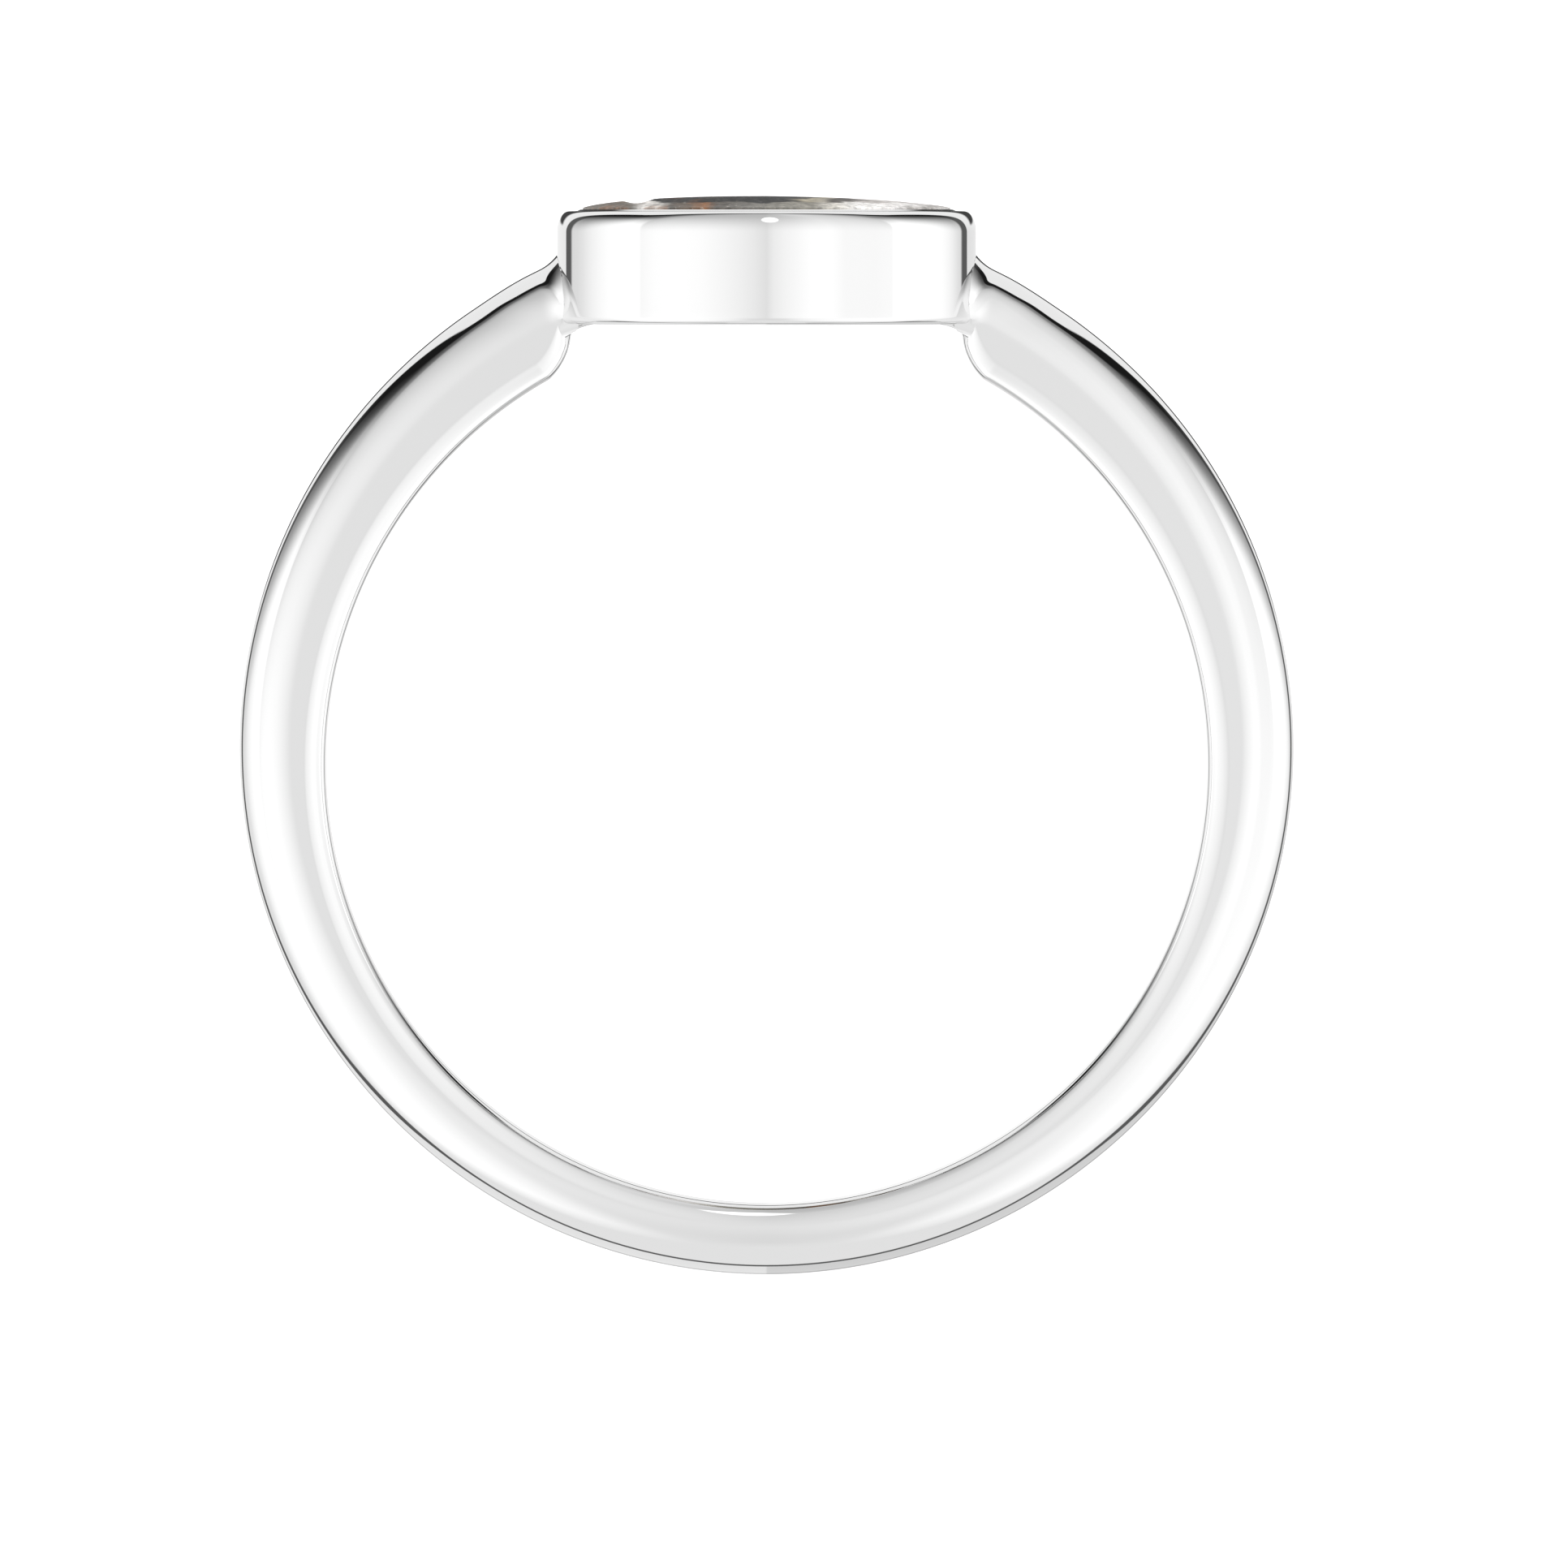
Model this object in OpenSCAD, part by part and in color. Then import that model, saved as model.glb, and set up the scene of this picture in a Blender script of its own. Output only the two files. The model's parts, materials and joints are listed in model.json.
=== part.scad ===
// Bezel set ring in polished white metal with a round, low domed, mottled cabochon.
// The ring lies on its side as it does on a table, on the back of its head and of its shank.
// Millimetres. X is left to right, Y points along the table to the head, Z is up.

/* [Finger hole] */
// radius of the finger hole, US size 7
hole_r = 8.65; // [8.2:0.05:9.2]

/* [Shank] */
// width of the shank along the finger
shank_w = 1.9; // [1.6:0.05:2]
// thickness at the bottom of the shank
shank_t = 1.38; // [1.3:0.01:1.5]
// how far the outside stands up toward the head
outer_rise = 0.31; // [0.25:0.01:0.4]
// radius of the half round on the outside, at least half the width
outer_round = 1; // [1:0.01:1.1]
// radius of the soft inner edges
inner_round = 0.72; // [0.6:0.02:0.8]
// how far those edges reach out from the wall of the hole
inner_run = 0.41; // [0.3:0.01:0.5]

/* [Shoulders] */
// round of the shoulder's end, below the head
end_round = 1.36; // [1.2:0.02:1.5]
// where that round is, turned from the head
end_angle = 31.3; // [31:0.1:31.6]
// left to right place of the shoulder's end under the head
end_x = 3.84; // [3.82:0.01:3.88]

/* [Head] */
// outside radius of the bezel
bezel_r = 4.11; // [4.05:0.01:4.3]
// underside of the bezel, out from the hole's centre
bezel_base = 8.62; // [8.6:0.01:8.66]
// height of the bezel up to the round of its lip
bezel_h = 2.2; // [2.1:0.02:2.4]
// round of the bezel's lower edge
base_round = 0.15; // [0.1:0.01:0.2]
// round of the lip's outer edge
lip_round = 0.3; // [0.25:0.01:0.35]
// rise of the lip from that round in to the stone
lip_rise = 0.05; // [0.03:0.01:0.08]
// inside radius of the burnished lip
lip_in_r = 3.6; // [3.56:0.01:3.64]
// bearing ledge above the underside
ledge_h = 0.9; // [0.7:0.05:1]
// radius of the open hole behind the stone
back_r = 3; // [2.6:0.1:3.3]

/* [Solder] */
// top of the solder collar on the bezel's wall, down from the round of the lip
collar_down = 0.72; // [0.66:0.01:0.78]
// height of the collar's steep upper part
collar_neck = 0.24; // [0.2:0.01:0.28]
// how far that part leans out from the bezel's wall
collar_lean = 0.08; // [0.06:0.01:0.1]
// slope of the collar's foot, down for each step out
collar_slope = 1.24; // [1.1:0.02:1.4]
// round of the solder web under the bezel
web_round = 1.4; // [1.2:0.1:1.6]
// how far the web runs in under the bezel
web_run = 0.69; // [0.6:0.01:0.72]

/* [Stone] */
// radius of the stone at its girdle
stone_r = 3.69; // [3.65:0.01:3.7]
// top of the dome, up from the round of the lip
dome_rise = 0.3; // [0.24:0.01:0.4]
// radius of the dome
dome_r = 28; // [26:1:40]
// gap round the stone
stone_gap = 0.03; // [0.02:0.005:0.04]

/* [Hidden] */
$fn = 128;

half_w = shank_w / 2;
tall = 6 * half_w;
reach = 14;

// outside of the shank: two arcs that meet in its middle, one for each side face
outer_r = hole_r + shank_t + outer_rise;
round_off = outer_round - half_w;
round_c = outer_r - sqrt(pow(outer_round, 2) - pow(round_off, 2));

// inner edges, a hair over the side faces, and the half width that they leave at the wall of the hole
edge_over = 0.004;
inner_c = hole_r + inner_run;
inner_up = half_w - inner_round + edge_over;
mouth_z = inner_up + sqrt(pow(inner_round, 2) - pow(inner_run, 2));

// middle of the round at the shoulder's end, a little over the hole's wall
end_lap = 0.03;
end_out = hole_r + end_round - end_lap;
end_c = [end_out * sin(end_angle), end_out * cos(end_angle)];
end_tall = 4;

// heights in the head, out from the hole's centre
rim_y = bezel_base + bezel_h;
lip_y = rim_y + lip_rise;
lip_under = 0.25;
seat_y = bezel_base + ledge_h;
seat_r = stone_r + stone_gap;
cut_over = 1;
stone_top = rim_y + dome_rise;
stone_floor = seat_y + stone_gap;
stone_shoulder = lip_y - lip_under - stone_gap;
stone_chamfer = 0.12;
lip_lean = (seat_r - lip_in_r) / lip_under;
dome_over = 0.6;

// solder: heights of its collar, how far the collar and the web are sunk in the other metal
collar_y = rim_y - collar_down;
collar_foot = 0.3;
collar_up = 0.3;
collar_root = 0.3;
collar_tuck = 0.01;
collar_clear = 0.1;
web_lap = 0.015;
web_drop = 0.22;

// tilt at which the bezel's lower edge and the shank's half round touch the table together
rest_a = bezel_base + base_round + round_c - outer_rise;
rest_b = bezel_r - base_round + round_off;
tilt = atan(rest_b / rest_a) - asin((outer_round - base_round) / norm([rest_a, rest_b]));
lift = outer_round + (round_c - outer_rise) * sin(tilt) - round_off * cos(tilt);
crest_z = bezel_r - lip_round;
far_y = (rim_y - lip_round) * cos(tilt) + crest_z * sin(tilt) + lip_round;
near_y = (round_c - outer_rise) * cos(tilt) - round_off * sin(tilt) + outer_round;
back_y = (near_y - far_y) / 2;

// lays a piece that was drawn seen along the finger down on the table
module on_table() {
  translate([0, back_y, lift]) rotate([tilt, 0, 0]) children();
}

// all that the shank may fill, seen along the finger: up to the round ends of its shoulders
module shank_reach() {
  side = [reach * sin(end_angle), reach * cos(end_angle)];
  polygon([[0, 0], side, [reach, side.y], [reach, -reach], [-reach, -reach], [-reach, side.y], [-side.x, side.y]]);
  for (s = [-1, 1]) {
    translate([s * end_c.x, end_c.y]) circle(end_round);
    translate([s * (end_x + reach) / 2, end_c.y + end_tall / 2]) square([reach - end_x, end_tall], center = true);
  }
}

// turned round the finger: soft inner edges, and all that lies outside them
module soft_band() {
  rotate_extrude() {
    translate([inner_c, -shank_w]) square([reach - inner_c, 2 * shank_w]);
    translate([inner_c - inner_round, -inner_up]) square([inner_round, 2 * inner_up]);
    for (s = [-1, 1]) translate([inner_c, s * inner_up]) circle(inner_round);
  }
}

// all that lies inside the half round of the outside, or inside the same round raised by up
module half_round(up = 0) {
  c = round_c + up;
  translate([0, outer_rise, 0]) rotate_extrude() {
    translate([0, -half_w]) square([c, shank_w]);
    intersection() {
      translate([c, -round_off]) circle(outer_round);
      translate([c, round_off]) circle(outer_round);
    }
  }
}

module shank() {
  difference() {
    intersection() {
      soft_band();
      half_round();
      linear_extrude(height = tall, center = true) shank_reach();
    }
    cylinder(h = tall, r = hole_r, center = true);
  }
}

// turns a profile drawn out from the stone's axis and up from the hole's centre
module about_head() {
  rotate([-90, 0, 0]) rotate_extrude() children();
}

// solder that flares each shoulder up the bezel's wall
module collar() {
  neck_y = collar_y - collar_neck;
  foot_y = bezel_base + collar_foot;
  in_r = bezel_r - collar_root;
  foot_r = bezel_r + collar_lean + (neck_y - foot_y) / collar_slope;
  intersection() {
    about_head() polygon([
      [in_r, collar_y], [bezel_r - collar_tuck, collar_y],
      [bezel_r + collar_lean, neck_y], [foot_r, foot_y], [in_r, foot_y],
    ]);
    soft_band();
    half_round(collar_up);
    linear_extrude(height = tall, center = true) difference() {
      shank_reach();
      circle(hole_r + collar_clear);
    }
  }
}

// solder web under the bezel at both shoulders
module web() {
  c = [end_x - web_run, bezel_base + web_lap - web_round];
  block = [web_run + web_lap, web_drop + base_round];
  for (s = [-1, 1]) {
    linear_extrude(height = 2 * mouth_z, center = true) difference() {
      translate([s * (c.x + block.x / 2), bezel_base - web_drop + block.y / 2]) square(block, center = true);
      translate([s * c.x, c.y]) circle(web_round);
    }
  }
}

module bezel_profile() {
  polygon([
    [0, bezel_base], [bezel_r - base_round, bezel_base], [bezel_r, bezel_base + base_round],
    [bezel_r, rim_y - lip_round], [bezel_r - lip_round, rim_y], [lip_in_r, lip_y], [0, lip_y],
  ]);
  translate([bezel_r - base_round, bezel_base + base_round]) circle(base_round);
  translate([bezel_r - lip_round, rim_y - lip_round]) circle(lip_round);
}

// room in the bezel: the open back, the seat, and the lip leaning in over the stone
module seat_profile() {
  polygon([
    [0, bezel_base - cut_over], [back_r, bezel_base - cut_over], [back_r, seat_y], [seat_r, seat_y],
    [seat_r, lip_y - lip_under], [lip_in_r, lip_y], [lip_in_r, lip_y + cut_over], [0, lip_y + cut_over],
  ]);
}

module band_and_bezel() {
  color([0.86, 0.87, 0.88]) on_table() difference() {
    union() {
      shank();
      collar();
      web();
      about_head() bezel_profile();
    }
    about_head() seat_profile();
  }
}

module stone() {
  over_y = stone_shoulder + dome_over;
  color([0.42, 0.41, 0.39]) on_table() about_head() intersection() {
    translate([0, stone_top - dome_r]) circle(dome_r);
    polygon([
      [0, stone_floor], [stone_r - stone_chamfer, stone_floor], [stone_r, stone_floor + stone_chamfer],
      [stone_r, stone_shoulder], [stone_r - dome_over * lip_lean, over_y], [0, over_y],
    ]);
  }
}

band_and_bezel();
stone();
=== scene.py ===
import json
import math

import bmesh
import bpy
from mathutils import Matrix, Vector


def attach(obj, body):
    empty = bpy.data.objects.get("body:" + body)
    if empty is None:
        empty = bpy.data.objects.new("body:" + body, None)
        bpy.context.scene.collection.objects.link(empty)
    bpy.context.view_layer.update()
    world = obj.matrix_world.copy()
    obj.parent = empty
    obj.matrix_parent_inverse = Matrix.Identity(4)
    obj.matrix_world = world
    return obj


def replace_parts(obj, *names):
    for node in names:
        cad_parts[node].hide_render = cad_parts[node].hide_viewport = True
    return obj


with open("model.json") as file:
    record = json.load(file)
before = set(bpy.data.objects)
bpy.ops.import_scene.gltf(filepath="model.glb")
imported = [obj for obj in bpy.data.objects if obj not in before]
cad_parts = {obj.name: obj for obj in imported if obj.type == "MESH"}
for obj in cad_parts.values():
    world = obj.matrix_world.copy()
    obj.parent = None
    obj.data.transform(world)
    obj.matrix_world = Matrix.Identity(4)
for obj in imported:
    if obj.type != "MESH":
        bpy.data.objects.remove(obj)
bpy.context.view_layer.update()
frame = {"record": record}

# A polished white gold ring with a low mottled cabochon in a turned bezel, on its side on a white sheet.
# Its own axes, in millimetres: x left to right, y from the finger's axis to the head, z along the finger.
mm = 0.001


def linearColour(hexCode):
    channels = [int(hexCode[i:i + 2], 16) / 255 for i in (1, 3, 5)]
    return [c / 12.92 if c <= 0.04045 else ((c + 0.055) / 1.055) ** 2.4 for c in channels] + [1]


def mix(a, b, t):
    return a + (b - a) * t


def smoothStep(low, high, value):
    t = min(max((value - low) / (high - low), 0), 1)
    return t * t * (3 - 2 * t)


def turn(degrees):
    return Vector((math.cos(math.radians(degrees)), math.sin(math.radians(degrees))))


# where the ring lies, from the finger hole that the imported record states
hole = next(m for m in frame["record"]["mounts"] if m["name"] == "finger_hole")
alongFinger = Vector(hole["axis"]).normalized()
toHead = Vector((0, alongFinger.z, -alongFinger.y))
ringTurn = Matrix((Vector((1, 0, 0)), toHead, alongFinger)).transposed().to_4x4()
ringPlace = Matrix.Translation(Vector(hole["pos_m"])) @ ringTurn @ Matrix.Scale(mm, 4)


def addObject(bm, name):
    bmesh.ops.recalc_face_normals(bm, faces=bm.faces)
    mesh = bpy.data.meshes.new(name)
    bm.to_mesh(mesh)
    bm.free()
    made = bpy.data.objects.new(name, mesh)
    bpy.context.scene.collection.objects.link(made)
    return made


def closedLoft(rings, capEnds=True):
    bm = bmesh.new()
    rows = [[bm.verts.new(p) for p in ring] for ring in rings]
    n = len(rows[0])
    pairs = zip(rows, rows[1:]) if capEnds else zip(rows, rows[1:] + rows[:1])
    for a, b in pairs:
        for i in range(n):
            bm.faces.new((a[i], b[i], b[(i + 1) % n], a[(i + 1) % n]))
    if capEnds:
        bm.faces.new(rows[0])
        bm.faces.new(rows[-1])
    return bm


# Shank: a half round bar that swells a little toward the head
shank = {
    "halfWidth": 0.95,        # half its width along the finger
    "outerRadius": 10.34,     # circle of its outside
    "outerRise": 0.31,        # how far that circle stands up toward the head
    "outerRound": 1.0,        # half round of the outside
    "innerRound": 0.72,       # soft inner edges
    "innerRun": 0.41,         # how far they reach out from the hole's wall
    "mouthRound": 0.16,       # the last polished edge at the hole's wall
    "endAngle": 31.3,         # where the round end of each shoulder is, turned from the head
    "endRound": 1.36,
    "endLap": 0.03,
    "endLast": 186,           # degrees round that end to where the web starts
    "webMiddle": (3.15, 7.235),  # round of the solder web under the bezel
    "webRound": 1.4,
    "webTurn": (58, 88),      # part of that round, in degrees
    "webTail": (-0.3, 0.14),  # the way it goes on into the bezel
    "spokeIn": 0.45,          # how straight the bar stands on its inside
    "spokeOut": 0.75,         # and on its outside
    "swellFrom": (1.7, 0.6),  # the outside swells between these ways from the bezel's wall
    "swell": 0.04,            # to this much more
    "solderRun": 0.4,         # how far the solder flares out from the wall
    "solderTop": 0.14,        # its rise up the wall on the shoulder's outside
    "solderSide": 0.2,        # and on its faces
    "solderLow": (8.6, 9.1),  # the flare fades in between these heights, out from the hole's middle
    "solderCurve": 2.5,
    "mainEnd": 50,            # degrees from the head where the rows get finer
    "mainRows": 110,
    "headRows": 70,
    "headCloser": 1.7,        # how much closer those rows lie near the bezel
    "deepRows": 10,           # rows sunk in the bezel
    "sunk": 0.18,             # how deep
    "deepFloor": 0.1,         # and how far above the bezel's underside, at least
    "wallIn": 0.005,          # the joint lies a hair inside the wall, so that the two bodies cross cleanly
}
holeRadius = hole["dims"]["r_mm"]
outerMiddle = Vector((0, shank["outerRise"]))
roundOff = shank["outerRound"] - shank["halfWidth"]
roundDepth = math.sqrt(shank["outerRound"] ** 2 - roundOff ** 2)


def outerPoint(angle):
    c, s = math.cos(angle), math.sin(angle)
    rise = shank["outerRise"]
    return (rise * c + math.sqrt(shank["outerRadius"] ** 2 - (rise * s) ** 2)) * Vector((s, c))


def bezier(points, t):
    while len(points) > 1:
        points = [a.lerp(b, t) for a, b in zip(points, points[1:])]
    return points[0]


def evenly(points, count):
    lengths = [0]
    for a, b in zip(points, points[1:]):
        lengths.append(lengths[-1] + (b - a).length)
    made, k = [], 0
    for i in range(count + 1):
        want = lengths[-1] * i / count
        while k < len(points) - 2 and lengths[k + 1] < want:
            k += 1
        made.append(points[k].lerp(points[k + 1], (want - lengths[k]) / (lengths[k + 1] - lengths[k])))
    return made


# inside contour of a shoulder: round its end below the head, along the solder web and into the bezel
endAngle = math.radians(shank["endAngle"])
endOut = holeRadius + shank["endRound"] - shank["endLap"]
endMiddle = endOut * Vector((math.sin(endAngle), math.cos(endAngle)))
endTurn = math.acos((endOut ** 2 + holeRadius ** 2 - shank["endRound"] ** 2) / (2 * endOut * holeRadius))
endFrom = endAngle - endTurn
wallEnd = holeRadius * Vector((math.sin(endFrom), math.cos(endFrom)))
endSteps = 240
contourParts = {"roundEnd": 60, "web": 24, "corner": 10, "tail": 8}
endSweep = math.radians(13.6)   # how far the outside turns while the inside follows that contour
cornerPull = (-0.004, -0.05)    # tight corner between the round end and the web


def shoulderContour():
    first = math.degrees(math.atan2(wallEnd.y - endMiddle.y, wallEnd.x - endMiddle.x)) % 360
    n = contourParts
    roundEnd = [endMiddle + shank["endRound"] * turn(mix(first, shank["endLast"], i / n["roundEnd"]))
                for i in range(n["roundEnd"] + 1)]
    webMiddle = Vector(shank["webMiddle"])
    web = [webMiddle + shank["webRound"] * turn(mix(*shank["webTurn"], i / n["web"]))
           for i in range(n["web"] + 1)]
    pull = Vector((roundEnd[-1].x + cornerPull[0], web[0].y + cornerPull[1]))
    corner = [bezier([roundEnd[-1], pull, web[0]], i / n["corner"]) for i in range(1, n["corner"])]
    tail = [web[-1] + Vector(shank["webTail"]) * (i / n["tail"]) for i in range(1, n["tail"] + 1)]
    return evenly(roundEnd + corner + web + tail, endSteps)


contour = shoulderContour()


def spokeAt(travel):
    angle = math.pi - travel
    outside = outerPoint(angle)
    if angle >= endFrom:
        inside = holeRadius * Vector((math.sin(angle), math.cos(angle)))
        normal = inside.normalized()
    else:
        along = min((endFrom - angle) / endSweep, 1) * endSteps
        k = min(int(along), endSteps - 1)
        inside = contour[k].lerp(contour[k + 1], along - k)
        ahead = contour[min(k + 6, endSteps)] - contour[max(k - 5, 0)]
        normal = Vector((-ahead.y, ahead.x)).normalized()
        normal = normal if normal.dot(outside - inside) > 0 else -normal
    back = (outerMiddle - outside).normalized()
    return [inside, inside + normal * shank["spokeIn"], outside + back * shank["spokeOut"], outside]


sectionParts = {"outside": 30, "face": 8, "edge": 16, "mouth": 8, "wall": 5}


def sectionAt(travel):
    spoke = spokeAt(travel)
    fine = 80
    line = [bezier(spoke, i / fine) for i in range(fine + 1)]
    inward = [0]
    for a, b in zip(line, line[1:]):
        inward.append(inward[-1] + (b - a).length)
    outward = [shank["outerRadius"] - (p - outerMiddle).length for p in line]

    def pointWhere(values, want):
        rising = values[-1] > values[0]
        for k in range(fine) if rising else reversed(range(fine)):
            a, b = values[k], values[k + 1]
            if (a <= want <= b) if rising else (b <= want <= a):
                return k + (want - a) / (b - a)
        return fine if rising == (want > values[-1]) else 0

    def at(f):
        k = min(int(f), fine - 1)
        p = line[k].lerp(line[k + 1], f - k)
        return p, mix(inward[k], inward[k + 1], f - k), mix(outward[k], outward[k + 1], f - k)

    def surface(f):
        p, d, e = at(f)
        high = shank["halfWidth"]
        if e < roundDepth:
            high = min(high, math.sqrt(max(shank["outerRound"] ** 2 - (roundDepth - e) ** 2, 0)) - roundOff)
        if d < shank["innerRun"]:
            rest = shank["innerRun"] - d
            softEdge = math.sqrt(shank["innerRound"] ** 2 - rest ** 2)
            high = min(high, softEdge + shank["halfWidth"] - shank["innerRound"])
        return Vector((p.x, p.y, max(high, 0)))

    steps = []
    steepest = math.degrees(math.acos(roundOff / shank["outerRound"]))
    for i in range(sectionParts["outside"]):
        lean = math.radians(mix(steepest, 0, i / sectionParts["outside"]))
        steps.append(pointWhere(outward, roundDepth - shank["outerRound"] * math.sin(lean)))
    edgeStart = pointWhere(inward, shank["innerRun"])
    faceStart = max(pointWhere(outward, roundDepth), edgeStart + 0.4)
    steps += [mix(faceStart, edgeStart, i / sectionParts["face"]) for i in range(sectionParts["face"])]
    steepest = math.degrees(math.asin((shank["innerRun"] - shank["mouthRound"]) / shank["innerRound"]))
    for i in range(sectionParts["edge"] + 1):
        lean = math.radians(mix(0, steepest, i / sectionParts["edge"]))
        steps.append(pointWhere(inward, shank["innerRun"] - shank["innerRound"] * math.sin(lean)))
    half = [surface(f) for f in steps]
    corner = surface(0)
    wallTop = corner - Vector((0, 0, shank["mouthRound"]))
    parts = sectionParts["mouth"]
    half += [bezier([half[-1], corner, wallTop], i / parts) for i in range(1, parts + 1)]
    parts = sectionParts["wall"]
    half += [Vector((wallTop.x, wallTop.y, wallTop.z * (1 - i / parts))) for i in range(1, parts + 1)]
    half[0].z = 0
    return half


# Bezel: one turned cup with a rounded, burnished lip
bezel = {
    "radius": 4.11,
    "base": 8.62,             # underside, out from the hole's middle
    "corner": 10.83,          # top of the rounded outer corner
    "baseRound": 0.15,
    "cornerOut": 0.23,        # size of that corner, across
    "cornerDown": 0.40,       # and down
    "lipFoot": 3.76,          # where the burnished lip starts to rise to the stone
    "lipHollow": 0.07,        # soft hollow there
    "lipTop": 10.862,
    "lipInside": 3.615,
    "lipRound": 0.04,
    "lipUnder": 0.3,          # height of the lip's lean over the stone
    "seatRadius": 3.72,
    "ledge": 9.52,
    "backRadius": 3.0,
    "fine": 0.03,             # broken inner edges
    "turns": 320,
    "sharpFrom": 38,          # degrees between two faces at which their edge looks sharp
}


def reach(p):
    return math.hypot(p.x, p.z)


def shankRows():
    travelEnd = math.pi - endFrom + endSweep
    fine = 900
    sections = [sectionAt(travelEnd * i / fine) for i in range(fine + 1)]
    count = len(sections[0])
    wall = bezel["radius"] - shank["wallIn"]
    mainEnd = math.radians(180 - shank["mainEnd"])

    def pointAt(j, travel):
        f = min(max(travel / travelEnd, 0), 1) * fine
        k = min(int(f), fine - 1)
        return sections[k][j].lerp(sections[k + 1][j], f - k)

    def travelTo(j, start, isShort):
        low, step = start, travelEnd / fine
        while isShort(pointAt(j, low + step)):
            low += step
            if low + step >= travelEnd:
                return travelEnd
        high = low + step
        for _ in range(20):
            middle = (low + high) / 2
            low, high = (middle, high) if isShort(pointAt(j, middle)) else (low, middle)
        return high

    deep = bezel["radius"] - shank["sunk"]
    lowest = bezel["base"] + shank["deepFloor"]
    columns = []
    for j in range(count):
        wallTravel = travelTo(j, mainEnd, lambda p: reach(p) > wall)
        deepTravel = travelTo(j, wallTravel, lambda p: reach(p) > deep or p.y < lowest)
        travels = [mainEnd * i / shank["mainRows"] for i in range(shank["mainRows"] + 1)]
        travels += [mix(mainEnd, wallTravel, 1 - (1 - i / shank["headRows"]) ** shank["headCloser"])
                    for i in range(1, shank["headRows"] + 1)]
        travels += [mix(wallTravel, deepTravel, i / shank["deepRows"])
                    for i in range(1, shank["deepRows"] + 1)]
        columns.append([pointAt(j, t) for t in travels])
    rows = [list(row) for row in zip(*columns)]
    atWall = shank["mainRows"] + shank["headRows"]
    made = [flared(row, wall) for row in rows[:atWall + 1]]
    rise = [after - before for after, before in zip(made[-1], rows[atWall])]
    return made + [[p + r for p, r in zip(row, rise)] for row in rows[atWall + 1:]]


def flared(row, wall):
    made = []
    for j, p in enumerate(row):
        gap = max(reach(p) - wall, 0)
        before, after = row[max(j - 1, 0)], row[min(j + 1, len(row) - 1)]
        if j == 0:
            before = Vector((after.x, after.y, -after.z))
        normal = Vector((p.x, 0, p.z)).normalized().cross(after - before)
        swellFar, swellNear = shank["swellFrom"]
        if gap > swellFar or normal.length < 1e-9:
            made.append(p)
            continue
        normal.normalize()
        normal = -normal if normal.z + normal.y < 0 else normal
        high = max(normal.y, 0)
        push = shank["swell"] * high * (1 - smoothStep(swellNear, swellFar, gap))
        if gap < shank["solderRun"]:
            rise = mix(shank["solderSide"], shank["solderTop"], high)
            push += rise * (1 - gap / shank["solderRun"]) ** shank["solderCurve"]
        moved = p + normal * push * smoothStep(*shank["solderLow"], p.y)
        moved.z = max(moved.z, 0) if j else 0
        made.append(moved)
    return made


def wholeLoop(row, side):
    front = [Vector((side * p.x, p.y, p.z)) for p in row]
    return front + [Vector((q.x, q.y, -q.z)) for q in front[-2:0:-1]]


def arc(middle, radii, first, last, count):
    return [(middle[0] + radii[0] * turn(mix(first, last, i / count)).x,
             middle[1] + radii[1] * turn(mix(first, last, i / count)).y) for i in range(count + 1)]


def line(a, b, count):
    return [(mix(a[0], b[0], i / count), mix(a[1], b[1], i / count)) for i in range(1, count)]


def bezelProfile():
    z = bezel
    fine = (z["fine"],) * 2
    parts = [
        arc((z["backRadius"] + z["fine"], z["base"] + z["fine"]), fine, 180, 270, 4),
        arc((z["radius"] - z["baseRound"], z["base"] + z["baseRound"]), (z["baseRound"],) * 2, -90, 0, 16),
        arc((z["radius"] - z["cornerOut"], z["corner"] - z["cornerDown"]), (z["cornerOut"], z["cornerDown"]),
            0, 89, 24),
        arc((z["lipFoot"], z["corner"] + z["lipHollow"]), (z["lipHollow"],) * 2, 270, 250, 4),
        arc((z["lipInside"] + z["lipRound"], z["lipTop"] - z["lipRound"]), (z["lipRound"],) * 2, 66, 170, 8),
        [(z["seatRadius"], z["lipTop"] - z["lipUnder"]), (z["seatRadius"], z["ledge"])],
        arc((z["backRadius"] + z["fine"], z["ledge"] - z["fine"]), fine, 90, 180, 4),
    ]
    stepsBetween = [6, 16, 2, 4, 4, 5, 6]
    made = []
    for part, after, count in zip(parts, parts[1:] + parts[:1], stepsBetween):
        made += part + line(part[-1], after[0], count)
    return made


print("sweeping the shank and turning the bezel")
turns = [2 * math.pi * k / bezel["turns"] for k in range(bezel["turns"])]
profile = bezelProfile()
cup = [[(r * math.cos(a), y, r * math.sin(a)) for r, y in profile] for a in turns]
ring = addObject(closedLoft(cup, capEnds=False), "bandAndBezel")
rows = shankRows()
loops = [wholeLoop(row, -1) for row in rows[:0:-1]] + [wholeLoop(row, 1) for row in rows]
bar = addObject(closedLoft(loops), "shankBar")

# what the union leaves closer than this, in millimetres, is joined or taken out
seam = {"join": 0.0003, "sliver": 0.0002}

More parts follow.
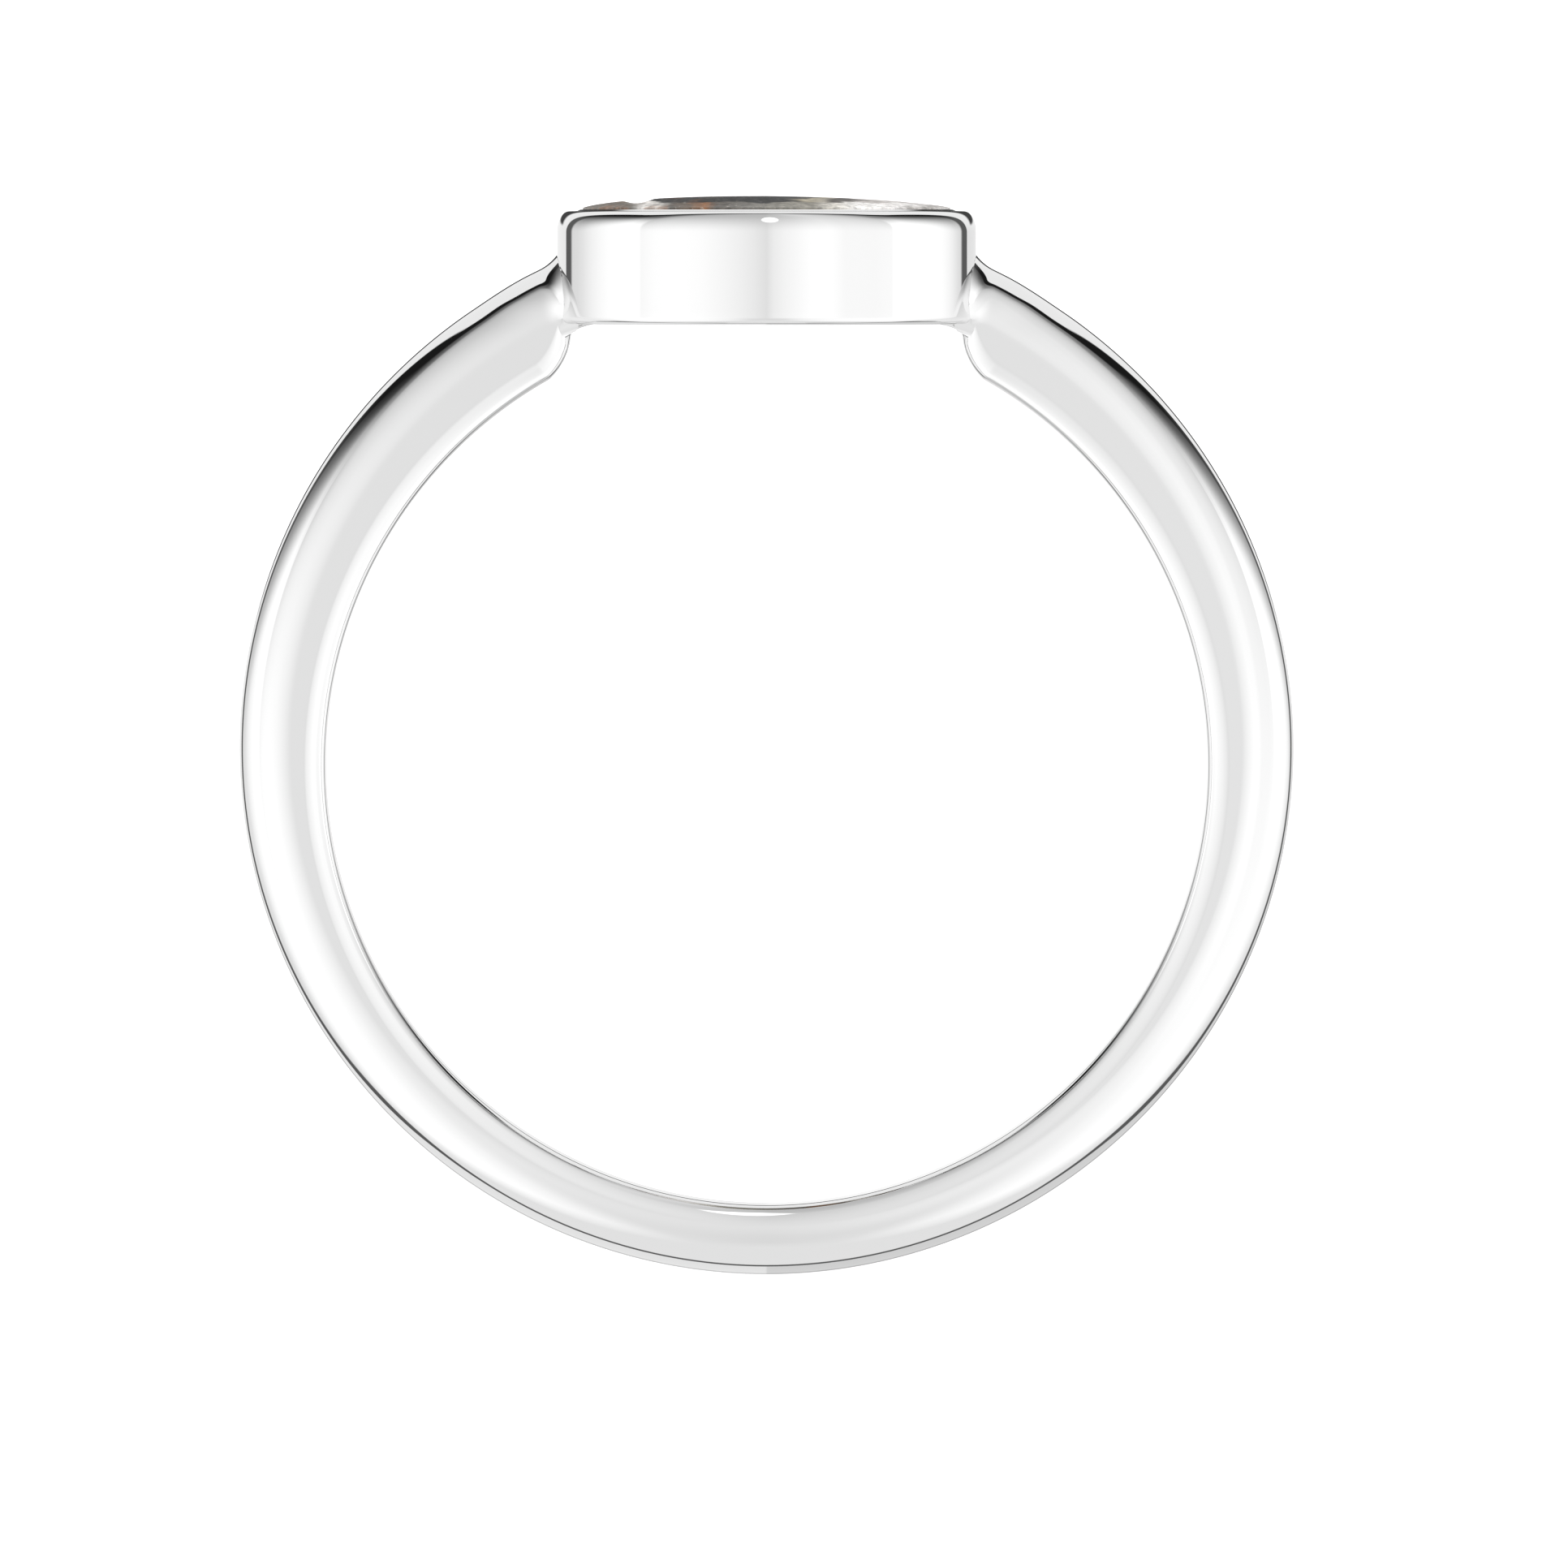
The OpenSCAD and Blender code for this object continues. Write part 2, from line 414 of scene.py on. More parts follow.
print("soldering them into one body")
solder = ring.modifiers.new("solder", "BOOLEAN")
solder.operation = "UNION"
solder.solver = "EXACT"
solder.object = bar
bpy.context.view_layer.update()
fused = bpy.data.meshes.new_from_object(ring.evaluated_get(bpy.context.evaluated_depsgraph_get()))
ring.modifiers.clear()
ring.data = fused
bpy.data.objects.remove(bar)
clean = bmesh.new()
clean.from_mesh(ring.data)
bmesh.ops.remove_doubles(clean, verts=clean.verts, dist=seam["join"])
bmesh.ops.dissolve_degenerate(clean, edges=clean.edges, dist=seam["sliver"])
openEdges = sum(1 for e in clean.edges if len(e.link_faces) != 2)
triangles = sum(len(f.verts) - 2 for f in clean.faces)
print("the ring's body has", triangles, "triangles and", openEdges, "open edges")
clean.to_mesh(ring.data)
clean.free()
ring.data.transform(ringPlace)
ring.data.shade_smooth()
ring.data.set_sharp_from_angle(angle=math.radians(bezel["sharpFrom"]))

# Stone: a low cabochon with a shallow dent near its left end
cabochon = {
    "girdle": 3.69,
    "floor": 9.55,
    "top": 11.125,
    "edgeTop": 10.86,
    "chamfer": 0.12,
    "shoulder": (3.69, 10.56),  # where its side starts to lean in under the lip
    "lean": (3.67, 10.60),
    "neck": (3.605, 10.80),
    "domeRadius": 3.60,       # rings of the dome reach this far
    "domeRings": 40,
    "edgeRadius": 3.66,       # its edge height holds here
    "flatness": (2.4, 0.62),  # how flat the dome is in its middle, and how fast it falls at its edge
    "lowRight": 0.05,         # the dome lies this much lower to the right
    "turns": 160,
    "dent": (-2.5, 0.0),
    "dentSize": (0.34, 2.2),
    "dentDepth": 0.12,
    "sharpFrom": 50,
}


def domeHeight(x, z):
    s = cabochon
    r = min(math.hypot(x, z) / s["edgeRadius"], 1)
    middle, edge = s["flatness"]
    height = s["edgeTop"] + (s["top"] - s["edgeTop"]) * (1 - r ** middle) ** edge
    height -= s["lowRight"] * max(x, 0) / s["edgeRadius"] * (1 - r ** 4)
    away = math.hypot((x - s["dent"][0]) / s["dentSize"][0], (z - s["dent"][1]) / s["dentSize"][1])
    return height - s["dentDepth"] * (1 - smoothStep(0, 1, away))


def buildStone():
    s = cabochon
    bm = bmesh.new()
    around = [2 * math.pi * k / s["turns"] for k in range(s["turns"])]
    rings = []
    for i in range(1, s["domeRings"] + 1):
        r = s["domeRadius"] * math.sin(math.pi / 2 * i / s["domeRings"])
        places = [(r * math.cos(a), r * math.sin(a)) for a in around]
        rings.append([bm.verts.new((x, domeHeight(x, z), z)) for x, z in places])
    lower = [s["neck"], s["lean"], s["shoulder"], (s["girdle"], s["floor"] + s["chamfer"]),
             (s["girdle"] - s["chamfer"], s["floor"])]
    for r, y in lower:
        rings.append([bm.verts.new((r * math.cos(a), y, r * math.sin(a))) for a in around])
    centre = bm.verts.new((0, domeHeight(0, 0), 0))
    for k in range(s["turns"]):
        following = (k + 1) % s["turns"]
        bm.faces.new((centre, rings[0][k], rings[0][following]))
        for a, b in zip(rings, rings[1:]):
            bm.faces.new((a[k], b[k], b[following], a[following]))
    bm.faces.new(rings[-1])
    return bm


print("cutting the cabochon")
stone = addObject(buildStone(), "cabochon")
stone.data.transform(ringPlace)
stone.data.shade_smooth()
stone.data.set_sharp_from_angle(angle=math.radians(cabochon["sharpFrom"]))


def addNode(tree, kind, links=None, **settings):
    node = tree.nodes.new(kind)
    for name, value in settings.items():
        setattr(node, name, value)
    for name, value in (links or {}).items():
        if isinstance(value, bpy.types.Node):
            value = next(output for output in value.outputs if output.enabled)
        if isinstance(value, bpy.types.NodeSocket):
            tree.links.new(value, node.inputs[name])
        else:
            node.inputs[name].default_value = value
    return node


def newMaterial(name):
    made = bpy.data.materials.new(name)
    made.use_nodes = True
    made.node_tree.nodes.clear()
    return made, made.node_tree


# White gold, rhodium plated and polished by hand: a neutral mirror,
# with a faint haze where the buff went lightly.
metal = {
    "colour": "#E7E7E7",
    "hazePerMetre": 600,      # patches of about 1.5 mm
    "hazeDetail": 3,
    "roughness": (0.02, 0.05),
}


def polishedMetal():
    made, tree = newMaterial("rhodiumPlatedWhiteGoldPolished")
    where = addNode(tree, "ShaderNodeTexCoord").outputs["Object"]
    haze = addNode(tree, "ShaderNodeTexNoise", {
        "Vector": where, "Scale": metal["hazePerMetre"], "Detail": metal["hazeDetail"]})
    low, high = metal["roughness"]
    rough = addNode(tree, "ShaderNodeMapRange", {"Value": haze, "To Min": low, "To Max": high})
    shader = addNode(tree, "ShaderNodeBsdfPrincipled", {
        "Base Color": linearColour(metal["colour"]), "Metallic": 1.0, "Roughness": rough})
    addNode(tree, "ShaderNodeOutputMaterial", {"Surface": shader})
    return made


# Banded agate, cut and polished as a cabochon: dark and pale layers with a soft gloss, mottled by its grain.
# Bands are (millimetres left to right, colour), on the dome and on the low rim above the lip; the rim's pale
# bands are partly the stone's paler lower layer and partly a painted highlight where its steep edge would
# catch the studio's gloss.
agate = {
    "domeBands": [(-3.7, "#4E4841"), (-3.0, "#6A563F"), (-2.7, "#7C7065"), (-2.5, "#E6E2DC"),
                  (-2.3, "#D6D3CE"), (-2.12, "#3D3D3E"), (-1.2, "#363636"), (0.5, "#3E3E3E"),
                  (0.75, "#5A5853"), (0.95, "#B4AC97"), (1.25, "#A39E93"), (1.4, "#5F5B58"),
                  (1.62, "#6B6764"), (1.75, "#BDB8B4"), (2.9, "#D2CBC8"), (3.2, "#A9A49F"),
                  (3.7, "#8E8A86")],
    # rim colours: the stone's paler lower layer with a painted highlight laid over its right and left flanks
    "rimBandsAndHighlight": [(-3.7, "#8F8881"), (-2.9, "#6E6861"), (-2.6, "#D5D2CE"), (-2.2, "#C4C1BC"),
                 (-1.9, "#5C5853"), (-1.45, "#6B5D50"), (-1.2, "#8A5F3E"), (-1.0, "#5A554F"),
                 (-0.4, "#6F6C67"), (0.2, "#85827A"), (0.9, "#8B887F"), (1.4, "#C9C5BD"),
                 (1.8, "#ECEAE7"), (2.8, "#E9E6E4"), (3.2, "#B5B1AD"), (3.7, "#8D8884")],
    "halfWidth": 3.7,
    # below this height the stone shows its rim colours, which carry a painted highlight
    "rimTop": 11.0,           # height where the rim's colours end
    "rimEdge": 0.012,         # half the width of that edge
    # each noise: size per millimetre, detail, roughness of the detail
    "noises": {
        "bend": (0.45, 2, 0.5),      # slow bend of the bands, over two millimetres
        "ripple": (3.0, 4, 0.5),     # ragged edges of the bands, a third of a millimetre
        "waver": (1.6, 3, 0.5),      # wavy edge of the rim's colours
        "rust": (1.7, 3, 0.5),       # iron stains, over half a millimetre
        "fleck": (11.0, 2, 0.5),     # pale flecks, drawn at 0.1 mm, coarser than real ones so that they show
        "grain": (7.0, 6, 0.65),     # mottling, drawn at 0.15 mm for the same reason
        "haze": (7.0, 3, 0.5),       # patches left duller by the polish
    },
    "noiseSpan": (0.3, 0.7),  # most of a noise lies between these
    "bend": 2.4,              # millimetres that the bands bend, at most
    "bendFront": (1.8, 3.3),  # toward the front the bend fades out between these
    "ripple": 0.28,
    "waver": 0.14,
    "rust": "#8A5A34",        # orange-brown
    "rustSpots": (0.56, 0.66),
    "rustSide": (-1.6, -0.6),  # the stain lies left of this
    "rustShare": 0.4,
    "fleck": "#A9A49C",
    "fleckSpots": (0.64, 0.7),
    "fleckShare": 0.5,
    "grain": (0.62, 1.38),    # darkest and lightest mottling, as a share of the colour
    "roughness": (0.3, 0.42),
    "ior": 1.54,              # chalcedony
    "specular": 0.12,         # the dark layers stay dark at a low angle
}


def mottledStone():
    made, tree = newMaterial("bandedAgateCabochonPolished")
    where = addNode(tree, "ShaderNodeTexCoord").outputs["Object"]
    fromHole = addNode(tree, "ShaderNodeVectorMath", {0: where, 1: tuple(hole["pos_m"])},
                       operation="SUBTRACT")
    inMm = addNode(tree, "ShaderNodeVectorMath", {0: fromHole, "Scale": 1 / mm}, operation="SCALE")
    across = addNode(tree, "ShaderNodeVectorMath", {0: inMm, 1: (1, 0, 0)}, operation="DOT_PRODUCT")
    height = addNode(tree, "ShaderNodeVectorMath", {0: inMm, 1: toHead}, operation="DOT_PRODUCT")
    front = addNode(tree, "ShaderNodeVectorMath", {0: inMm, 1: alongFinger}, operation="DOT_PRODUCT")
    noise, swing = {}, {}
    for name, (size, detail, rough) in agate["noises"].items():
        noise[name] = addNode(tree, "ShaderNodeTexNoise", {
            "Vector": inMm, "Scale": size, "Detail": detail, "Roughness": rough})
    for name in ("bend", "ripple", "waver"):
        centred = addNode(tree, "ShaderNodeMath", {0: noise[name], 1: 0.5}, operation="SUBTRACT")
        swing[name] = addNode(tree, "ShaderNodeMath", {0: centred, 1: agate[name]}, operation="MULTIPLY")

    # where along the bands a point lies, once they are bent and rippled
    low, high = agate["bendFront"]
    still = addNode(tree, "ShaderNodeMapRange", {
        "Value": front, "From Min": low, "From Max": high, "To Min": 1.0, "To Max": 0.0},
        interpolation_type="SMOOTHSTEP")
    bend = addNode(tree, "ShaderNodeMath", {0: swing["bend"], 1: still}, operation="MULTIPLY")
    bent = addNode(tree, "ShaderNodeMath", {0: across, 1: bend}, operation="ADD")
    rippled = addNode(tree, "ShaderNodeMath", {0: bent, 1: swing["ripple"]}, operation="ADD")
    share = addNode(tree, "ShaderNodeMath", {0: rippled, 1: 0.5 / agate["halfWidth"], 2: 0.5},
                    operation="MULTIPLY_ADD")
    bands = {}
    for name in ("domeBands", "rimBandsAndHighlight"):
        bands[name] = addNode(tree, "ShaderNodeValToRGB", {"Fac": share})
        ramp = bands[name].color_ramp
        for k, (place, colour) in enumerate(agate[name]):
            position = place / (2 * agate["halfWidth"]) + 0.5
            stop = ramp.elements[0] if k == 0 else ramp.elements.new(position)
            stop.position = position
            stop.color = linearColour(colour)
        ramp.elements.remove(ramp.elements[len(ramp.elements) - 1])
    # the rim's colours, partly a painted highlight, take over below a wavy height
    wavy = addNode(tree, "ShaderNodeMath", {0: height, 1: swing["waver"]}, operation="ADD")
    low, high = agate["rimTop"] - agate["rimEdge"], agate["rimTop"] + agate["rimEdge"]
    onRimAndHighlight = addNode(tree, "ShaderNodeMapRange", {
        "Value": wavy, "From Min": low, "From Max": high, "To Min": 1.0, "To Max": 0.0},
        interpolation_type="SMOOTHSTEP")
    colour = addNode(tree, "ShaderNodeMix", {0: onRimAndHighlight, 6: bands["domeBands"], 7: bands["rimBandsAndHighlight"]},
                     data_type="RGBA")

    # stains, flecks and mottling over the bands
    low, high = agate["rustSpots"]
    spots = addNode(tree, "ShaderNodeMapRange", {"Value": noise["rust"], "From Min": low, "From Max": high},
                    interpolation_type="SMOOTHSTEP")
    low, high = agate["rustSide"]
    onLeft = addNode(tree, "ShaderNodeMapRange", {
        "Value": across, "From Min": low, "From Max": high, "To Min": agate["rustShare"], "To Max": 0.0},
        interpolation_type="SMOOTHSTEP")
    rust = addNode(tree, "ShaderNodeMath", {0: spots, 1: onLeft}, operation="MULTIPLY")
    colour = addNode(tree, "ShaderNodeMix", {0: rust, 6: colour, 7: linearColour(agate["rust"])},
                     data_type="RGBA")
    low, high = agate["fleckSpots"]
    fleck = addNode(tree, "ShaderNodeMapRange", {
        "Value": noise["fleck"], "From Min": low, "From Max": high, "To Max": agate["fleckShare"]},
        interpolation_type="SMOOTHSTEP")
    colour = addNode(tree, "ShaderNodeMix", {0: fleck, 6: colour, 7: linearColour(agate["fleck"])},
                     data_type="RGBA")
    noiseLow, noiseHigh = agate["noiseSpan"]
    low, high = agate["grain"]
    grain = addNode(tree, "ShaderNodeMapRange", {
        "Value": noise["grain"], "From Min": noiseLow, "From Max": noiseHigh, "To Min": low, "To Max": high},
        interpolation_type="SMOOTHSTEP")
    colour = addNode(tree, "ShaderNodeMix", {0: 1.0, 6: colour, 7: grain},
                     data_type="RGBA", blend_type="MULTIPLY")
    low, high = agate["roughness"]
    rough = addNode(tree, "ShaderNodeMapRange", {
        "Value": noise["haze"], "From Min": noiseLow, "From Max": noiseHigh, "To Min": low, "To Max": high},
        interpolation_type="SMOOTHSTEP")
    shader = addNode(tree, "ShaderNodeBsdfPrincipled", {
        "Base Color": colour, "Roughness": rough,
        "IOR": agate["ior"], "Specular IOR Level": agate["specular"]})
    addNode(tree, "ShaderNodeOutputMaterial", {"Surface": shader})
    return made


print("giving the ring its polish and the stone its layers")
ring.data.materials.clear()
ring.data.materials.append(polishedMetal())
stone.data.materials.append(mottledStone())

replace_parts(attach(ring, "root"), "band_and_bezel")
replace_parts(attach(stone, "root"), "stone")

# White acrylic sheet, lit from below and sanded matt: a plain pale ground with next to no shadow.
sheet = {
    "half": 2.0,              # metres
    "colour": "#F0F0F0",
    "roughness": 0.9,
    "glow": "#FFFFFF",
    "glowStrength": 0.45,
}

print("laying the white sheet")
half = sheet["half"]
sheetMesh = bpy.data.meshes.new("whiteSheet")
corners = [(-half, -half, 0), (half, -half, 0), (half, half, 0), (-half, half, 0)]
sheetMesh.from_pydata(corners, [], [(0, 1, 2, 3)])
floor = bpy.data.objects.new("whiteSheet", sheetMesh)
bpy.context.scene.collection.objects.link(floor)
sheetMaterial, sheetTree = newMaterial("whiteAcrylicSheetSanded")
sheetShader = addNode(sheetTree, "ShaderNodeBsdfPrincipled", {
    "Base Color": linearColour(sheet["colour"]), "Roughness": sheet["roughness"],
    "Emission Color": linearColour(sheet["glow"]), "Emission Strength": sheet["glowStrength"]})
addNode(sheetTree, "ShaderNodeOutputMaterial", {"Surface": sheetShader})
sheetMesh.materials.append(sheetMaterial)
floor.visible_glossy = False   # the polished metal mirrors the studio below

# Studio that the metal mirrors, by direction in the ring's own axes: across, up to the head, to the front.
# Each ramp is a list of (degrees round, light), from 0 in front of the ring to 180 behind it.
studio = {
    "leftSide": [(0, 0.94), (7, 1.04), (13, 1.1), (23, 1.18), (36, 1.26), (50, 1.3), (64, 1.28),
                 (73.5, 1.22), (75.5, 1.29), (90, 1.3), (98, 1.25), (106, 1.18), (114, 1.08),
                 (122, 0.96), (137, 0.88), (160, 0.9)],
    "rightSide": [(0, 0.94), (4, 1.07), (10, 1.15), (24, 1.28), (36, 1.28), (44, 1.2), (62, 1.2),
                  (73.5, 1.24), (75, 1.35), (106, 1.31), (114, 1.24), (126, 1.09), (137, 0.86),
                  (160, 0.75)],
    "lower": [(0, 0.86), (10, 0.92), (18, 1.06), (24, 1.14), (36, 1.22), (50, 1.28), (90, 1.3), (106, 1.14),
              (124, 0.85)],
    "lowerFade": (-36, -2),   # the lower wall shows below these degrees up
    "aboveLeft": [(0, 0.6), (36, 0.6), (60, 0.56), (70, 0.42), (80, 0.16), (94, 0.04), (128, 0.02)],
    "aboveRight": [(0, 0.62), (16, 0.7), (34, 0.84), (50, 0.8), (60, 0.72), (70, 0.55), (80, 0.28),
                   (94, 0.14), (108, 0.06), (128, 0.02)],
    # degrees up where the side walls start and end their fall to the dark ceiling
    "fallStart": [(0, -12), (73.5, -10), (75.5, 14), (84, 18), (128, -6)],
    "fallEnd": [(0, 74), (73.5, 68), (75.5, 51), (84, 49), (128, 36)],
    "fallReach": (-12, 88),   # lowest and highest that those ramps hold
    "mostLight": 2.0,         # the brightest that the light ramps hold
    "floorLowest": -60,       # edge of the white sheet: degrees up where it is lowest
    "floorLowestAt": 54,      # degrees round of that place
    "floorBend": 0.0044,      # how fast the edge rises on both sides of it
    "floorSoft": 6,
    "floorLight": 0.94,
    "lampAt": (2.2, 45),      # small round lamp: degrees round and up
    "lampHalf": (5.5, 13),
    "lampEdge": (0.75, 1.25),
    "lampLight": 1.7,
    "waist": 0.2,             # above and below this share of up, a panel has its upper and lower form
    # dark gap round the backdrop; across and front hold how far it reaches, below and above the waist
    "gap": {"across": (0.68, 0.7), "front": (-0.3, 0.03), "round": 0.18, "soft": 0.02},
    "gapLight": (0.12, 0.012),
    "gapFade": (0.25, 0.6),
    "zenithLight": 0.06,      # straight above the head
    "zenithFade": (0.12, 0.45),
    # white backdrop behind the ring
    "backdrop": {"across": (0.55, 0.585), "front": (-0.4, -0.1), "round": 0.12, "soft": 0.01},
    "backdropLight": (0.94, 0.77, 1.01),  # lower left, lower right and top
    "behind": (-0.92, -0.88),     # the far end of the room, straight behind the ring
    "behindShare": (0.65, 0.06),  # its light below the waist and above it
    "belowFade": (-0.15, -0.05),
    "aboveFade": (0.06, 0.1),
    "plainLight": 1.1,        # what the camera sees past the sheet
}


def studioWorld():
    world = bpy.data.worlds.new("studio")
    bpy.context.scene.world = world
    world.use_nodes = True
    tree = world.node_tree
    tree.nodes.clear()

    # the direction in the ring's own axes, and as degrees round and up
    way = addNode(tree, "ShaderNodeTexCoord").outputs["Generated"]
    across = addNode(tree, "ShaderNodeVectorMath", {0: way, 1: (1, 0, 0)}, operation="DOT_PRODUCT")
    upward = addNode(tree, "ShaderNodeVectorMath", {0: way, 1: toHead}, operation="DOT_PRODUCT")
    toward = addNode(tree, "ShaderNodeVectorMath", {0: way, 1: alongFinger}, operation="DOT_PRODUCT")
    aside = addNode(tree, "ShaderNodeMath", {0: across}, operation="ABSOLUTE")
    turned = addNode(tree, "ShaderNodeMath", {0: aside, 1: toward}, operation="ARCTAN2")
    degreesRound = addNode(tree, "ShaderNodeMath", {0: turned}, operation="DEGREES")
    shareRound = addNode(tree, "ShaderNodeMath", {0: degreesRound, 1: 180.0}, operation="DIVIDE")
    risen = addNode(tree, "ShaderNodeMath", {0: upward}, operation="ARCSINE")
    degreesUp = addNode(tree, "ShaderNodeMath", {0: risen}, operation="DEGREES")
    onRight = addNode(tree, "ShaderNodeMapRange", {"Value": across, "From Min": -0.0005, "From Max": 0.0005},
                      interpolation_type="SMOOTHSTEP")

    # the ramps; a ramp's grey only holds 0 to 1, so each is stored as a share of its own reach
    painted = {}
    for name in ("leftSide", "rightSide", "lower", "aboveLeft", "aboveRight", "fallStart", "fallEnd"):
        least, most = studio["fallReach"] if name.startswith("fall") else (0, studio["mostLight"])
        painting = addNode(tree, "ShaderNodeValToRGB", {"Fac": shareRound})
        ramp = painting.color_ramp
        for k, (degrees, value) in enumerate(studio[name]):
            stop = ramp.elements[0] if k == 0 else ramp.elements.new(degrees / 180)
            stop.position = degrees / 180
            share = (value - least) / (most - least)
            stop.color = (share, share, share, 1)
        ramp.elements.remove(ramp.elements[len(ramp.elements) - 1])
        painted[name] = addNode(tree, "ShaderNodeMath", {0: painting, 1: most - least, 2: least},
                                operation="MULTIPLY_ADD")

    # side walls, the lower wall and the dark ceiling
    sides = addNode(tree, "ShaderNodeMix", {0: onRight, 2: painted["leftSide"], 3: painted["rightSide"]},
                    data_type="FLOAT")
    low, high = studio["lowerFade"]
    isLower = addNode(tree, "ShaderNodeMapRange", {
        "Value": degreesUp, "From Min": low, "From Max": high, "To Min": 1.0, "To Max": 0.0},
        interpolation_type="SMOOTHSTEP")
    light = addNode(tree, "ShaderNodeMix", {0: isLower, 2: sides, 3: painted["lower"]}, data_type="FLOAT")
    isAbove = addNode(tree, "ShaderNodeMapRange", {
        "Value": degreesUp, "From Min": painted["fallStart"], "From Max": painted["fallEnd"]},
        interpolation_type="SMOOTHSTEP")
    above = addNode(tree, "ShaderNodeMix", {0: onRight, 2: painted["aboveLeft"], 3: painted["aboveRight"]},
                    data_type="FLOAT")
    light = addNode(tree, "ShaderNodeMix", {0: isAbove, 2: light, 3: above}, data_type="FLOAT")

    # the sheet's edge is a parabola in degrees
    fromLowest = addNode(tree, "ShaderNodeMath", {0: degreesRound, 1: studio["floorLowestAt"]},
                         operation="SUBTRACT")
    squared = addNode(tree, "ShaderNodeMath", {0: fromLowest, 1: fromLowest}, operation="MULTIPLY")
    edge = addNode(tree, "ShaderNodeMath", {0: squared, 1: studio["floorBend"], 2: studio["floorLowest"]},
                   operation="MULTIPLY_ADD")
    under = addNode(tree, "ShaderNodeMath", {0: edge, 1: degreesUp}, operation="SUBTRACT")
    isFloor = addNode(tree, "ShaderNodeMapRange", {
        "Value": under, "From Min": -studio["floorSoft"], "From Max": studio["floorSoft"]})
    light = addNode(tree, "ShaderNodeMix", {0: isFloor, 2: light, 3: studio["floorLight"]}, data_type="FLOAT")

    # the small lamp, an ellipse in degrees
    signedTurn = addNode(tree, "ShaderNodeMath", {0: across, 1: toward}, operation="ARCTAN2")
    signedRound = addNode(tree, "ShaderNodeMath", {0: signedTurn}, operation="DEGREES")
    place = addNode(tree, "ShaderNodeCombineXYZ", {0: signedRound, 1: degreesUp})
    offset = addNode(tree, "ShaderNodeVectorMath", {0: place, 1: (*studio["lampAt"], 0)},
                     operation="SUBTRACT")
    scaled = addNode(tree, "ShaderNodeVectorMath", {0: offset, 1: (*studio["lampHalf"], 1)},
                     operation="DIVIDE")
    square = addNode(tree, "ShaderNodeVectorMath", {0: scaled, 1: scaled}, operation="DOT_PRODUCT")
    low, high = studio["lampEdge"]
    isLamp = addNode(tree, "ShaderNodeMapRange", {
        "Value": square, "From Min": low, "From Max": high, "To Min": 1.0, "To Max": 0.0},
        interpolation_type="SMOOTHSTEP")
    light = addNode(tree, "ShaderNodeMix", {0: isLamp, 2: light, 3: studio["lampLight"]}, data_type="FLOAT")

    # what the gap and the backdrop shine
    isHigh = addNode(tree, "ShaderNodeMapRange", {
        "Value": upward, "From Min": -studio["waist"], "From Max": studio["waist"]},
        interpolation_type="SMOOTHSTEP")
    low, high = studio["zenithFade"]
    fromZenith = addNode(tree, "ShaderNodeMapRange", {"Value": aside, "From Min": low, "From Max": high},
                         interpolation_type="SMOOTHSTEP")
    gapLow, gapHigh = studio["gapLight"]
    gapTop = addNode(tree, "ShaderNodeMix", {0: fromZenith, 2: studio["zenithLight"], 3: gapHigh},
                     data_type="FLOAT")
    low, high = studio["gapFade"]
    gapRise = addNode(tree, "ShaderNodeMapRange", {"Value": upward, "From Min": low, "From Max": high},
                      interpolation_type="SMOOTHSTEP")
    gapLight = addNode(tree, "ShaderNodeMix", {0: gapRise, 2: gapLow, 3: gapTop}, data_type="FLOAT")
    lowLeft, lowRight, top = studio["backdropLight"]
    backLow = addNode(tree, "ShaderNodeMix", {0: onRight, 2: lowLeft, 3: lowRight}, data_type="FLOAT")
    backLight = addNode(tree, "ShaderNodeMix", {0: isHigh, 2: backLow, 3: top}, data_type="FLOAT")

    # both are panels with a round corner: a direction is on one while less than the round past its reach
    for name, panelLight in (("gap", gapLight), ("backdrop", backLight)):
        panel = studio[name]
        past = []
        for measure, reachKey in ((aside, "across"), (toward, "front")):
            below, over = panel[reachKey]
            panelReach = addNode(tree, "ShaderNodeMix", {0: isHigh, 2: below, 3: over}, data_type="FLOAT")
            beyond = addNode(tree, "ShaderNodeMath", {0: measure, 1: panelReach}, operation="SUBTRACT")
            rounded = addNode(tree, "ShaderNodeMath", {0: beyond, 1: panel["round"]}, operation="ADD")
            past.append(addNode(tree, "ShaderNodeMath", {0: rounded, 1: 0.0}, operation="MAXIMUM"))
        corner = addNode(tree, "ShaderNodeCombineXYZ", {0: past[0], 1: past[1]})
        distance = addNode(tree, "ShaderNodeVectorMath", {0: corner}, operation="LENGTH")
        low, high = panel["round"] - panel["soft"], panel["round"] + panel["soft"]
        onPanel = addNode(tree, "ShaderNodeMapRange", {
            "Value": distance, "From Min": low, "From Max": high, "To Min": 1.0, "To Max": 0.0},
            interpolation_type="SMOOTHSTEP")
        light = addNode(tree, "ShaderNodeMix", {0: onPanel, 2: light, 3: panelLight}, data_type="FLOAT")

